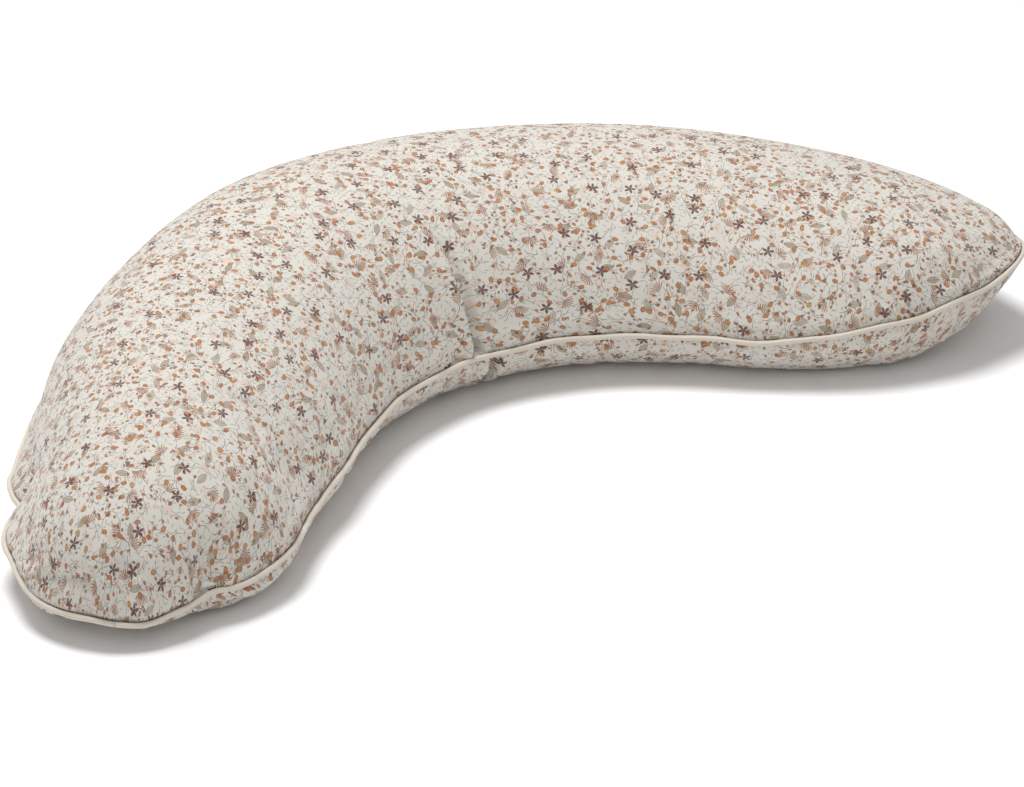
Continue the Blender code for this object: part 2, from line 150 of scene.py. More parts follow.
def topPoint(s, r, rim=0.0):
    # crown section: rise times (1 - |r|^a)^b over the seam, r from -1 inner to 1 outer
    a, b = form["crownRounding"]
    lean = r + form["crownLean"] * (1.0 - r**2)
    rise = np.maximum(crownRise(s) - rim, 0.0)
    z = seamHeight(s) + rim + rise * np.clip(1.0 - np.abs(lean) ** a, 0.0, 1.0) ** b
    return onPlan(s, r, z)


def onPlan(s, r, z):
    plan = centreLine(s) + outward(s) * (halfWidth(s) * r)[..., None]
    return np.concatenate([plan, z[..., None]], axis=-1)


def makeMesh(name, points, faces, smooth=True):
    mesh = bpy.data.meshes.new(name)
    mesh.from_pydata(np.asarray(points, float).tolist(), [], [list(map(int, face)) for face in faces])
    if smooth:
        mesh.polygons.foreach_set("use_smooth", np.ones(len(mesh.polygons), bool))
    mesh.update()
    piece = bpy.data.objects.new(name, mesh)
    bpy.context.scene.collection.objects.link(piece)
    return piece


def gridFaces(rows, columns, closedRows=False, closedColumns=False):
    # quads between neighbouring rows and columns of a grid of points
    r = np.arange(rows if closedRows else rows - 1)[:, None]
    c = np.arange(columns if closedColumns else columns - 1)[None, :]
    rNext, cNext = (r + 1) % rows, (c + 1) % columns
    return np.stack([r * columns + c, rNext * columns + c, rNext * columns + cNext, r * columns + cNext],
                    axis=-1).reshape(-1, 4)


def readPoints(mesh):
    co = np.empty(len(mesh.vertices) * 3)
    mesh.vertices.foreach_get("co", co)
    return co.reshape(-1, 3)


def setUv(piece, pointUv):
    # one uv for each vertex, in metres of flat cloth
    mesh = piece.data
    layer = mesh.uv_layers.new(name="flatPattern")
    index = np.empty(len(mesh.loops), int)
    mesh.loops.foreach_get("vertex_index", index)
    layer.data.foreach_set("uv", np.asarray(pointUv)[index].ravel())


cover = {
    "bodyColumns": 132,     # stations along the straight part of the grid
    "capColumns": 26,       # and round each tip
    "lines": 62,            # lines across, from seam to seam
    "capStart": 0.70,       # way along at which the grid starts to wrap round a tip
    "rim": 0.0006,          # half of the slot that the piping is sewn into
    "baseShift": 0.437,     # of the bottom's flat pattern, so that its print differs from the top's
    "zipBand": 0.0115,      # strip left open for the zip below the seam
    "zipBandFull": 0.255,
    "zipBandEnd": 0.295,
    "clothSteps": 24,
    "pressure": 3.0,
    "slack": 0.018,         # cloth cut this much larger than the form
    "mostMove": 0.012,      # most that the cloth may move a point
    "thickness": 0.0007,
    "smoothing": 45,        # passes that find the slow part of the cloth's move, which is left out
}


def coverGrid():
    # (s, r) of a grid that wraps round the tips: a square mapped on a half disc at each end
    v = cover
    b = np.sin(np.linspace(-1.0, 1.0, v["lines"] + 1) * math.pi / 2)
    body = np.linspace(-v["capStart"], v["capStart"], v["bodyColumns"] + 1)
    a = np.sin(np.linspace(0.0, 1.0, v["capColumns"] + 1)[1:] * math.pi / 2)
    aa, bb = np.meshgrid(a, b, indexing="ij")
    xi = aa * np.sqrt(1.0 - bb**2 / 2.0)
    eta = bb * np.sqrt(1.0 - aa**2 / 2.0)
    r = np.clip(eta / np.sqrt(np.maximum(1.0 - xi**2, 1e-9)), -1.0, 1.0)
    r[:, 0], r[:, -1] = -1.0, 1.0
    r[-1] = np.sign(np.round(bb[-1], 9))
    s = v["capStart"] + (1.0 - v["capStart"]) * xi
    bodyS, bodyR = np.meshgrid(body, b, indexing="ij")
    return (np.concatenate([-s[::-1], bodyS, s]), np.concatenate([r[::-1], bodyR, r]))


def zipDrop(s, r):
    # depth of the open strip: full at the middle of the back, eased to nothing at its ends
    v = cover
    fade = smoothStep((v["zipBandEnd"] - np.abs(s)) / (v["zipBandEnd"] - v["zipBandFull"]))
    return np.where(r > 0.0, v["zipBand"] * fade, 0.0)


def basePoint(s, r, rim):
    # base section: quarter-round wall outside the flat share, flat on the floor inside it;
    # the wall starts at the rim, or below the zip's strip
    flat = form["flatShare"]
    out = np.clip((np.abs(r) - flat) / (1.0 - flat), 0.0, 1.0)
    end = np.clip((np.abs(s) - form["baseTipStart"]) / (1.0 - form["baseTipStart"]), 0.0, 1.0)
    drop = np.maximum(zipDrop(s, r), rim)
    depth = np.maximum(seamHeight(s) * np.sqrt(1.0 - end**2), drop)
    start = np.arcsin(drop / depth)
    angle = start + (math.pi / 2 - start) * (1.0 - np.arcsin(out) / (math.pi / 2))
    across = np.where(np.abs(r) > flat, np.sign(r) * (flat + (1.0 - flat) * np.cos(angle)), r)
    return onPlan(s, across, seamHeight(s) - depth * np.where(np.abs(r) > flat, np.sin(angle), 1.0))


def refine(grid):
    # doubles a grid both ways; a new point is (-1, 9, 9, -1)/16 of its four neighbours in line
    for axis in (0, 1):
        g = np.moveaxis(grid, axis, 0)
        ends = np.concatenate([2 * g[:1] - g[1:2], g, 2 * g[-1:] - g[-2:-1]])
        middle = (9 * (ends[1:-2] + ends[2:-1]) - ends[:-3] - ends[3:]) / 16.0
        fine = np.empty((2 * len(g) - 1, *g.shape[1:]))
        fine[0::2], fine[1::2] = g, middle
        grid = np.moveaxis(fine, 0, axis)
    return grid


def slowPart(field, passes):
    # (1, 2, 1)/4 averages along both directions of the grid, with the edges held at nothing
    slow = field.copy()
    slow[[0, -1]] = slow[:, [0, -1]] = 0.0
    for _ in range(passes):
        slow[1:-1] = (slow[:-2] + 2 * slow[1:-1] + slow[2:]) / 4.0
        slow[:, 1:-1] = (slow[:, :-2] + 2 * slow[:, 1:-1] + slow[:, 2:]) / 4.0
    return slow


def gridNormals(points, sign):
    # cross product of the two directions of the grid, turned outward by sign
    down, along = np.gradient(points, axis=0), np.gradient(points, axis=1)
    return unit(np.cross(down, along) * sign)


def flatPattern(points, s, r, surface, rounds=220):
    # flattens a surface: starts from lengths walked along the ridge and out from it along each
    # section, then evens every edge of the grid, and both diagonals, towards its length
    ways = np.linspace(-0.9995, 0.9995, 801)
    across = np.linspace(-1.0, 1.0, 201)
    sections = surface(*np.broadcast_arrays(ways[:, None], across[None]), cover["rim"])
    walk = walked(sections, 1)
    walk -= walk[:, [100]]
    ridge = sections[:, 100]
    long, short = walked(ridge), walked(ridge[:, :2])
    extra = (long - long[400]) - (short - short[400])
    row = np.interp(s, ways, np.arange(801.0))
    column = (r + 1.0) * 100.0
    i, j = np.minimum(row.astype(int), 799), np.minimum(column.astype(int), 199)
    u, v = row - i, column - j
    out = ((1 - u) * ((1 - v) * walk[i, j] + v * walk[i, j + 1])
           + u * ((1 - v) * walk[i + 1, j] + v * walk[i + 1, j + 1]))
    forward = np.stack([np.cos(heading(s)), -np.sin(heading(s))], axis=-1)
    flat = centreLine(s) + forward * np.interp(s, ways, extra)[..., None] + outward(s) * out[..., None]
    whole = slice(None)
    pairs = [((slice(1, None), whole), (slice(None, -1), whole)),
             ((whole, slice(1, None)), (whole, slice(None, -1))),
             ((slice(1, None), slice(1, None)), (slice(None, -1), slice(None, -1))),
             ((slice(1, None), slice(None, -1)), (slice(None, -1), slice(1, None)))]
    lengths = [np.linalg.norm(points[a] - points[b], axis=-1) for a, b in pairs]
    for _ in range(rounds):
        move = np.zeros_like(flat)
        for (a, b), length in zip(pairs, lengths):
            edge = flat[a] - flat[b]
            now = np.maximum(np.linalg.norm(edge, axis=-1), 1e-9)
            push = edge * (0.5 * (now - length) / now)[..., None]
            move[a] -= push
            move[b] += push
        flat += 0.35 * move
    return flat


def inflate(topGrid, baseGrid):
    # cloth with its seam and its floor patch held, cut with some slack and blown up a little
    shape, count = topGrid.shape, topGrid.shape[0] * topGrid.shape[1]
    start = np.concatenate([topGrid.reshape(-1, 3), baseGrid.reshape(-1, 3)])
    faces = gridFaces(*shape[:2])
    piece = makeMesh("clothForm", start, np.concatenate([faces, faces[:, ::-1] + count]))
    held = np.zeros(shape[:2], bool)
    held[[0, -1]] = held[:, [0, -1]] = True
    floor = baseGrid[..., 2] < 1e-5
    group = piece.vertex_groups.new(name="held")
    group.add(np.flatnonzero(np.concatenate([held.ravel(), (held | floor).ravel()])).tolist(), 1.0, "REPLACE")
    cloth = piece.modifiers.new("cloth", "CLOTH")
    c = cloth.settings
    c.quality, c.mass, c.air_damping = 6, 0.15, 4.0
    c.tension_stiffness, c.compression_stiffness, c.shear_stiffness, c.bending_stiffness = 25, 25, 12, 0.3
    c.vertex_group_mass = "held"
    c.use_pressure, c.uniform_pressure_force = True, cover["pressure"]
    c.shrink_min = -cover["slack"]
    c.effector_weights.gravity = 0.0
    cloth.point_cache.frame_start, cloth.point_cache.frame_end = 1, cover["clothSteps"]
    scene = bpy.context.scene
    for step in range(1, cover["clothSteps"] + 1):
        scene.frame_set(step)
    soft = piece.evaluated_get(bpy.context.evaluated_depsgraph_get()).data
    end = readPoints(soft)
    scene.frame_set(1)
    bpy.data.objects.remove(piece)
    moved = []
    for first in (0, count):
        move = (end - start)[first:first + count].reshape(shape)
        move = move - slowPart(move, cover["smoothing"])    # the folds stay, the form keeps its size
        size = np.maximum(np.linalg.norm(move, axis=-1), 1e-12)
        print("    folds: mean", round(float(size.mean()), 5), "deepest", round(float(size.max()), 5))
        share = np.minimum(size, cover["mostMove"]) / size
        outer = start[first:first + count].reshape(shape)
        share = share * (0.8 - 0.5 * smoothStep((s + 0.05) / 0.3))
        share = share * np.where(outer[..., 2] < form["seamHeight"], 0.3 + 0.7 * awayFromZip(outer), 1.0)
        moved.append(move * share[..., None])
    return topGrid + moved[0], baseGrid + moved[1]


# where the filled cover leans away from its drawn form, as bells in plan:
# way, side, forward, sideways, upward, spread
leans = {
    "both": [
        (-0.715, -1.0, 0.0, -0.0075, 0.0, 0.038),
        (-0.850, -1.0, 0.0, 0.0045, 0.0, 0.032),
        (-0.760, 1.0, 0.0, -0.0085, 0.0020, 0.072),
        (-1.000, 0.0, -0.0020, 0.0, 0.0020, 0.060),
        (0.690, -1.0, 0.0, 0.0, -0.0030, 0.050),
        (0.950, -1.0, 0.0, 0.0, 0.0042, 0.034),
        (0.985, 0.70, 0.0040, 0.0, 0.0095, 0.036),
        (1.000, -0.20, 0.0, 0.0, 0.0050, 0.040),
    ],
    "top": [
        (-0.700, 0.85, 0.0, -0.0110, 0.0, 0.085),
        (-0.200, 0.60, 0.0, 0.0040, 0.0035, 0.090),
        (0.230, 0.25, 0.0, 0.0, -0.0040, 0.110),
        (0.860, 0.55, 0.0, 0.0, -0.0020, 0.055),
        (0.985, 0.50, -0.0020, 0.0, -0.0090, 0.044),
        (0.960, -0.20, 0.0, 0.0, -0.0050, 0.040),
    ],
    "base": [
        (0.960, -0.50, -0.0030, -0.0010, 0.0030, 0.060),
        (-1.000, 0.0, -0.0100, 0.0, 0.0030, 0.060),
        (-0.910, -1.0, 0.0, 0.0060, 0.0, 0.040),
    ],
}


def leaned(points, share, *lists):
    # adds every bell, turned to its own place's forward and sideways directions, times a share
    moved = points.copy()
    for way, across, forward, sideways, up, spread in (lean for each in lists for lean in leans[each]):
        at = np.array(way)
        centre = onPlan(at, np.array(across), np.array(0.0))[:2]
        out = outward(at) * np.sign(across)
        ahead = np.array([outward(at)[1], -outward(at)[0]]) * np.sign(way)
        push = np.array([*(ahead * forward + out * sideways), up])
        bell = np.exp(-((points[..., :2] - centre) ** 2).sum(axis=-1) / spread**2) * share
        moved += bell[..., None] * push
    return moved


# how the seam wanders from its drawn line, and where the cloth creases
seam = {
    "wander": 0.0010,       # slow rise and fall
    "dents": [              # way, side, sideways, upward, spread
        (-0.944, -1.0, -0.0042, 0.0022, 0.015),
        (-0.985, -0.6, 0.0030, -0.0022, 0.018),
        (-0.750, 1.0, -0.0055, 0.0006, 0.009),
        (-0.815, 1.0, 0.0055, -0.0010, 0.022),
        (-0.695, 1.0, 0.0040, 0.0012, 0.016),
        (-0.700, -1.0, 0.0016, -0.0014, 0.020),
        (0.930, 1.0, -0.0030, 0.0010, 0.018),
        (0.985, -0.4, 0.0022, 0.0014, 0.018),
        (0.620, -1.0, 0.0014, -0.0012, 0.030),
    ],
    "reach": 0.032,         # how far from the seam the cloth follows it
    "bulge": 0.0016,        # cloth standing proud just off the seam
    "bulgeAt": 0.011,
    "bulgeWidth": 0.0075,
    "pucker": 0.00055,
    "puckerLength": 0.0095,
    "puckerReach": 0.010,
    "puckerRise": 0.006,    # from the seam to full height
    "leanRise": 0.012,      # from the seam to where one panel's own leans count in full
    "calm": (0.185, 0.05),  # still this far from the middle of the back, then easing in
}
creases = {
    "top": [                # way and place across at both ends, depth, half width
        ((0.003, -1.00), (-0.016, -0.50), 0.0100, 0.0038),
        ((0.034, -0.98), (0.070, -0.66), 0.0026, 0.0080),
        ((-0.060, -0.99), (-0.110, -0.70), 0.0022, 0.0090),
        ((-0.957, -0.95), (-0.905, -0.96), 0.0018, 0.0045),
        ((-0.948, -1.00), (-0.905, -0.72), 0.0040, 0.0065),
        ((-0.990, -0.30), (-0.925, -0.25), 0.0030, 0.0075),
        ((-0.985, 0.60), (-0.930, 0.42), 0.0024, 0.0070),
        ((-0.752, 1.00), (-0.730, 0.72), 0.0040, 0.0070),
        ((0.930, 1.00), (0.890, 0.70), 0.0030, 0.0080),
        ((0.975, -0.50), (0.900, -0.35), 0.0020, 0.0090),
    ],
    "base": [
        ((0.052, -1.00), (0.030, -0.45), 0.0100, 0.0034),
        ((0.330, -1.00), (0.345, -0.66), 0.0022, 0.0050),
        ((-0.300, -1.00), (-0.285, -0.66), 0.0026, 0.0060),
        ((-0.560, -1.00), (-0.545, -0.66), 0.0020, 0.0055),
        ((0.900, -1.00), (0.870, -0.66), 0.0030, 0.0055),
        ((0.960, -0.95), (0.930, -0.55), 0.0024, 0.0050),
        ((0.620, 1.00), (0.610, 0.66), 0.0026, 0.0060),
        ((-0.620, 1.00), (-0.600, 0.66), 0.0026, 0.0060),
    ],
}


def awayFromZip(plan):
    # nothing round the middle of the back, where the zip needs a true edge, easing to one beyond it
    far = np.hypot(plan[..., 0], plan[..., 1] - shiftY - form["halfWidth"])
    return smoothStep((far - seam["calm"][0]) / seam["calm"][1])


def seamShift(plan):
    # sideways and upward shift at plan positions: slow crossed waves, and a bell at each dent
    x, y = plan[..., 0], plan[..., 1]
    wave = np.sin(x * 47.0 + 1.3) * np.cos(y * 39.0 - 0.4) + 0.6 * np.sin(x * 83.0 - y * 61.0)
    up = seam["wander"] * wave
    side = 0.5 * seam["wander"] * np.sin(x * 71.0 + y * 53.0 + 0.8)
    for s, across, sideways, rise, spread in seam["dents"]:
        centre = onPlan(np.array(s), np.array(across), np.array(0.0))[:2]
        bell = np.exp(-((x - centre[0]) ** 2 + (y - centre[1]) ** 2) / spread**2)
        side, up = side + sideways * bell, up + rise * bell
    calm = awayFromZip(plan)
    return side * calm, up * calm


def creaseDepth(plan, lines):
    # sum of grooves: a bell across each line and a fade towards its inner end
    depth = np.zeros(plan.shape[:-1])
    for first, last, deep, width in lines:
        a, b = (onPlan(np.array(e[0]), np.array(e[1]), np.array(0.0))[:2] for e in (first, last))
        run = b - a
        t = np.clip(((plan - a) @ run) / (run @ run), 0.0, 1.0)
        gap = np.linalg.norm(plan - a - t[..., None] * run, axis=-1)
        depth += deep * np.exp(-((gap / width) ** 2)) * (1.0 - smoothStep(t))
        depth -= 0.22 * deep * np.exp(-(((gap - 2.1 * width) / width) ** 2)) * (1.0 - smoothStep(t))
    return depth


def dressed(grid, s, r, sign, kind):
    # the cloth's own detail: leans, follows the wandering seam, stands proud just off it, puckers, creases
    plan = grid[..., :2]
    normal = gridNormals(grid, sign)
    out = outward(s) * np.sign(r)[..., None]
    ends = np.stack([np.cos(heading(s)), -np.sin(heading(s))], axis=-1) * np.sign(s)[..., None]
    tip = smoothStep((np.abs(s) - 0.9) / 0.1)[..., None]
    sideways = unit(out * (1.0 - tip) + ends * tip)
    fromSeam, down = fromEdge(grid), walked(grid, 0)
    side, up = seamShift(plan)
    follow = np.exp(-((fromSeam / seam["reach"]) ** 2))
    bulge = np.exp(-(((fromSeam - seam["bulgeAt"]) / seam["bulgeWidth"]) ** 2))
    proud = seam["bulge"] * bulge * (fromSeam > 0)
    phase = down * 2 * math.pi / seam["puckerLength"] + 2.2 * np.sin(down * 61.0) + 1.4 * np.sin(down * 143.0)
    swell = 0.5 + 0.5 * np.sin(down * 37.0 + 1.1)
    fade = (fromSeam / seam["puckerRise"]) * np.exp(-fromSeam / seam["puckerReach"])
    pucker = seam["pucker"] * np.sin(phase) * swell * fade
    offSeam = 1.0 - np.exp(-((fromSeam / seam["leanRise"]) ** 2))
    dressedGrid = leaned(leaned(grid, np.ones(s.shape), "both"), offSeam, kind)
    dressedGrid[..., :2] += sideways * (side * follow + proud)[..., None]
    dressedGrid[..., 2] += up * follow
    dressedGrid += normal * (pucker - creaseDepth(plan, creases[kind]) * (fromSeam > 0))[..., None]
    dressedGrid[..., 2] = np.maximum(dressedGrid[..., 2], 0.0)
    return dressedGrid


say("form")
s, r = coverGrid()
topGrid = topPoint(s, r, cover["rim"])
baseGrid = basePoint(s, r, cover["rim"])
topFlat = flatPattern(topGrid, s, r, topPoint)
baseFlat = flatPattern(baseGrid, s, r, basePoint) + cover["baseShift"]
say("flat patterns")
topGrid, baseGrid = inflate(topGrid, baseGrid)
say("cloth")
topGrid, baseGrid, topFlat, baseFlat, s, r = (refine(g) for g in (topGrid, baseGrid, topFlat, baseFlat, s, r))
topGrid = dressed(topGrid, s, r, 1.0, "top")
baseGrid = dressed(baseGrid, s, r, -1.0, "base")


class Value:
    # one socket of a material's nodes, so that Python arithmetic on it adds the Math nodes
    def __init__(self, paint, socket):
        self.paint, self.socket = paint, socket

    def __add__(self, other):
        return self.paint.math("ADD", self, other)

    def __sub__(self, other):
        return self.paint.math("SUBTRACT", self, other)

    def __rsub__(self, other):
        return self.paint.math("SUBTRACT", other, self)

    def __mul__(self, other):
        return self.paint.math("MULTIPLY", self, other)

    def __truediv__(self, other):
        return self.paint.math("DIVIDE", self, other)

    def __pow__(self, other):
        return self.paint.math("POWER", self, other)

    def __abs__(self):
        return self.paint.math("ABSOLUTE", self)

    __radd__, __rmul__ = __add__, __mul__


def tint(red, green, blue):
    # screen values of 0 to 255 as the linear colour that a shader takes
    return (*[((v / 255 + 0.055) / 1.055) ** 2.4 for v in (red, green, blue)], 1.0)


class Paint:
    # a material on the standard shader; constants go on the shader's own sockets
    def __init__(self, name, **constants):
        self.material = bpy.data.materials.new(name)
        self.material.use_nodes = True
        self.tree = self.material.node_tree
        self.shader = self.tree.nodes["Principled BSDF"]
        for socket, value in constants.items():
            self.shader.inputs[socket.replace("_", " ")].default_value = value

    def node(self, kind, settings=None, inputs=None, output=0):
        # any node: its type, its settings first, then values or links for its sockets
        made = self.tree.nodes.new(kind)
        for key, value in (settings or {}).items():
            setattr(made, key, value)
        for key, value in (inputs or {}).items():
            if isinstance(value, Value):
                self.tree.links.new(value.socket, made.inputs[key])
            else:
                made.inputs[key].default_value = value
        return Value(self, made.outputs[output])

    def math(self, operation, *values, clamp=False):
        settings = {"operation": operation, "use_clamp": clamp}
        return self.node("ShaderNodeMath", settings, dict(enumerate(values)))

    def vector(self, operation, *values, output=0, **more):
        inputs = dict(enumerate(values))
        inputs.update(more)
        return self.node("ShaderNodeVectorMath", {"operation": operation}, inputs, output)

    def mix(self, factor, a, b):
        return self.node("ShaderNodeMix", {"data_type": "RGBA"}, {0: factor, 6: a, 7: b}, 2)

    def parts(self, vector):
        split = self.node("ShaderNodeSeparateXYZ", None, {0: vector})
        return split, Value(self, split.socket.node.outputs[1]), Value(self, split.socket.node.outputs[2])

    def noise(self, place, scale, detail=2.0):
        return self.node("ShaderNodeTexNoise", None, {"Vector": place, "Scale": scale, "Detail": detail})

    def give(self, socket, value):
        self.tree.links.new(value.socket, self.shader.inputs[socket])

    def bump(self, height):
        # height in metres
        made = self.node("ShaderNodeBump", None, {"Height": height, "Distance": 1.0, "Strength": 1.0})
        self.give("Normal", made)

    def weave(self, place, yarn):
        # up and down of a plain weave: sin(x) sin(y), one yarn to each turn
        u, v, _ = self.parts(self.vector("SCALE", place, Scale=2 * math.pi / yarn))
        return self.math("SINE", u) * self.math("SINE", v)

    def flatPlace(self):
        return self.node("ShaderNodeUVMap", {"uv_map": "flatPattern"})

    def objectPlace(self):
        return self.node("ShaderNodeTexCoord", output=3)

    def turned(self, vector, angle):
        inputs = {"Vector": vector, "Angle": angle}
        return self.node("ShaderNodeVectorRotate", {"rotation_type": "Z_AXIS"}, inputs)

    def soft(self, inside, edge):
        # one where inside is above nothing, easing to nothing over the edge's width
        return self.math("MULTIPLY_ADD", inside, 1.0 / edge, 0.5, clamp=True)


motifs = {               # square, turn, seed, share of squares, reach
    "blush": (0.0150, 0.35, 3.0, 0.60, 0.0045),
    "specks": (0.0044, 1.10, 5.0, 0.72, 0.0016),
    "hooks": (0.0080, 0.62, 41.0, 0.62, 0.0030),
    "stems": (0.0118, 2.05, 7.0, 0.90, 0.0054),
    "leaves": (0.0180, 0.80, 11.0, 0.52, 0.0060),
    "fringed": (0.0225, 2.60, 13.0, 0.55, 0.0066),
    "bigSprigs": (0.0200, 1.55, 17.0, 0.70, 0.0082),
    "smallSprigs": (0.0165, 2.95, 19.0, 0.66, 0.0068),
    "bigBerries": (0.0120, 0.15, 23.0, 0.25, 0.0026),
    "smallBerries": (0.0066, 2.30, 29.0, 0.30, 0.0017),
    "buds": (0.0165, 1.90, 31.0, 0.26, 0.0028),
    "plumFlowers": (0.0255, 0.55, 37.0, 0.66, 0.0050),
}


def scatter(p, place, motif):
    # one motif in each square of a turned grid, kept inside its square: its own turned position in
    # metres, whether it is there, and a random number for its looks
    size, turn, seed, share, reach = motifs[motif]
    scaled = p.vector("SCALE", p.turned(place, turn), Scale=1.0 / size)
    cell = p.vector("FLOOR", scaled)
    draw = p.node("ShaderNodeTexWhiteNoise", {"noise_dimensions": "4D"}, {"Vector": cell, "W": seed})
    colour = Value(p, draw.socket.node.outputs[1])
    room = max(1.0 - 2.0 * reach / size, 0.0)
    centre = p.vector("MULTIPLY_ADD", colour, (room, room, 0.0), ((1.0 - room) / 2, (1.0 - room) / 2, 0.0))
    local = p.vector("SCALE", p.vector("SUBTRACT", p.vector("SUBTRACT", scaled, cell), centre), Scale=size)
    _, _, third = p.parts(colour)
    spot = p.turned(local, third * (2 * math.pi))
    return spot, p.math("LESS_THAN", draw, share), draw / share


def oval(p, spot, centre, half, edge=0.00018):
    # one inside the ellipse, easing to nothing over its edge
    gap = p.vector("SUBTRACT", spot, (*centre, 0.0))
    gap = p.vector("MULTIPLY", gap, (1.0 / half[0], 1.0 / half[1], 0.0))
    far = p.vector("LENGTH", gap, output=1)
    return p.math("MULTIPLY_ADD", 1.0 - far, min(half) / edge, 0.5, clamp=True)


def berry(p, spot, centre, half, share, under, rim, flesh):
    # an ellipse with a darker rim, laid over what is under it
    inside = oval(p, spot, centre, (half[0] * 0.78, half[1] * 0.76), 0.0004)
    return p.mix(oval(p, spot, centre, half) * share, under, p.mix(inside, rim, flesh))


def stroke(p, spot, bend, half, width, edge=0.00014):
    # an arc through the spot's middle: distance to a circle below it, out to half its length
    far = p.vector("LENGTH", p.vector("ADD", spot, (0.0, bend, 0.0)), output=1)
    line = p.soft(width / 2 - abs(far - abs(bend)), edge)
    x, _, _ = p.parts(spot)
    return line * p.math("LESS_THAN", abs(x), half)


def leaf(p, x, y, half, wide, edge=0.00016):
    # pointed oval: |y| below wide (1 - (x / half)^2)
    return p.soft(wide - (x * x) * (wide / half**2) - abs(y), edge)


cotton = {
    "ground": (209, 205, 196),
    "plum": (96, 64, 62), "plumHeart": (62, 42, 42),
    "orange": (187, 128, 80), "deepOrange": (160, 102, 64), "rust": (120, 82, 64), "ochre": (186, 144, 90),
    "rim": (146, 92, 58),
    "leaf": (168, 153, 132), "leafLine": (112, 97, 80),
    "peach": (182, 130, 94), "blush": (208, 184, 170), "stem": (108, 105, 98), "speck": (140, 124, 110),
    "yarn": 0.0008,         # one yarn and its gap
    "weaveDepth": 0.00010,
    "crumple": 0.00085,
}


def printedCotton():
    # small flowers, berries and leaves scattered over plain-woven cotton
    p = Paint("printedCotton", Roughness=0.9, Sheen_Weight=0.25, Sheen_Roughness=0.5, Specular_IOR_Level=0.25)
    c = {k: tint(*v) for k, v in cotton.items() if isinstance(v, tuple)}
    place = p.flatPlace()
    wash = p.noise(place, 620.0, 1.0)
    slow = p.noise(place, 22.0, 2.0)
    colour = p.mix(slow * 0.30, c["ground"], tint(199, 195, 187))

    spot, there, look = scatter(p, place, "blush")
    x, y, _ = p.parts(spot)
    angle, far = p.math("ARCTAN2", y, x), p.vector("LENGTH", spot, output=1)
    petal = abs(p.math("COSINE", angle * 2.5))
    mask = p.soft((petal * 0.0028 + 0.0016) - far, 0.0005)
    colour = p.mix(mask * there * (0.15 + look * 0.55), colour, c["blush"])

    spot, there, look = scatter(p, place, "specks")
    colour = p.mix(oval(p, spot, (0.0, 0.0), (0.0016, 0.00034)) * there * 0.7, colour, c["speck"])

    spot, there, look = scatter(p, place, "hooks")
    colour = p.mix(stroke(p, spot, 0.0032, 0.0025, 0.00030) * there * 0.65, colour, c["stem"])

    spot, there, look = scatter(p, place, "stems")
    lines = p.math("MAXIMUM", stroke(p, spot, 0.0075, 0.0052, 0.00042),
                   stroke(p, p.vector("ADD", spot, (0.0010, -0.0012, 0.0)), -0.0050, 0.0034, 0.00036))
    colour = p.mix(lines * there * 0.8, colour, c["stem"])

    spot, there, look = scatter(p, place, "leaves")
    x, y, _ = p.parts(spot)
    whole, inner = leaf(p, x, y, 0.0056, 0.0024), leaf(p, x, y, 0.0050, 0.0020)
    hatch = p.math("MULTIPLY_ADD", p.math("SINE", (abs(y) * 1.5 - x) * 6200.0), 0.9, -0.15, clamp=True)
    rib = p.math("LESS_THAN", abs(y), 0.00016)
    body = p.mix(p.math("MAXIMUM", hatch * 0.42, rib), c["leaf"], c["leafLine"])
    leafColour = p.mix(inner, c["leafLine"], body)
    colour = p.mix(whole * there * (0.55 + look * 0.4), colour, leafColour)

    spot, there, look = scatter(p, place, "fringed")
    fromFoot = p.vector("ADD", spot, (0.0030, 0.0, 0.0))
    x, y, _ = p.parts(fromFoot)
    angle, far = p.math("ARCTAN2", y, x), p.vector("LENGTH", fromFoot, output=1)
    ray = p.math("PINGPONG", angle * 3.1 + 0.25, 0.5)
    width = p.math("MULTIPLY_ADD", far, -12.0, 0.32)
    fan = p.math("MULTIPLY_ADD", width - ray, 7.0, 0.5, clamp=True)
    tips = p.math("MULTIPLY_ADD", 0.0066 - far, 1.0 / 0.0012, 0.3, clamp=True)
    fan = fan * p.math("LESS_THAN", abs(angle), 1.25) * tips
    fringe = p.mix(p.math("MULTIPLY_ADD", far, 190.0, -0.35, clamp=True), c["rust"], c["peach"])
    colour = p.mix(fan * there * (0.70 + wash * 0.6), colour, fringe)

    spot, there, look = scatter(p, place, "bigSprigs")
    colour = p.mix(stroke(p, spot, 0.0110, 0.0064, 0.00040) * there * 0.8, colour, c["stem"])
    orange = p.mix(p.math("MULTIPLY_ADD", wash, 2.4, -0.8, clamp=True), c["deepOrange"], c["orange"])
    for centre, half in (((0.0062, -0.0020), (0.0022, 0.0016)), ((-0.0060, -0.0034), (0.0017, 0.0022)),
                         ((0.0022, 0.0034), (0.0016, 0.0012))):
        colour = berry(p, spot, centre, half, there * 0.92, colour, c["rim"], orange)

    spot, there, look = scatter(p, place, "smallSprigs")
    colour = p.mix(stroke(p, spot, -0.0085, 0.0052, 0.00038) * there * 0.8, colour, c["stem"])
    small = oval(p, spot, (0.0046, 0.0030), (0.0013, 0.0009))
    for centre in ((0.0012, -0.0022), (-0.0024, 0.0022), (-0.0052, -0.0004)):
        small = p.math("MAXIMUM", small, oval(p, spot, centre, (0.0012, 0.00085)))
    colour = p.mix(small * there * 0.88, colour, p.mix(look, c["rust"], c["orange"]))

    spot, there, look = scatter(p, place, "bigBerries")
    colour = berry(p, spot, (0.0, 0.0), (0.0023, 0.0017), there * 0.92, colour, c["rim"],
                   p.mix(look * 0.8, orange, c["ochre"]))

    spot, there, look = scatter(p, place, "smallBerries")
    lone = oval(p, spot, (0.0, 0.0), (0.0015, 0.00095))
    colour = p.mix(lone * there * 0.85, colour, p.mix(look, c["rust"], c["deepOrange"]))

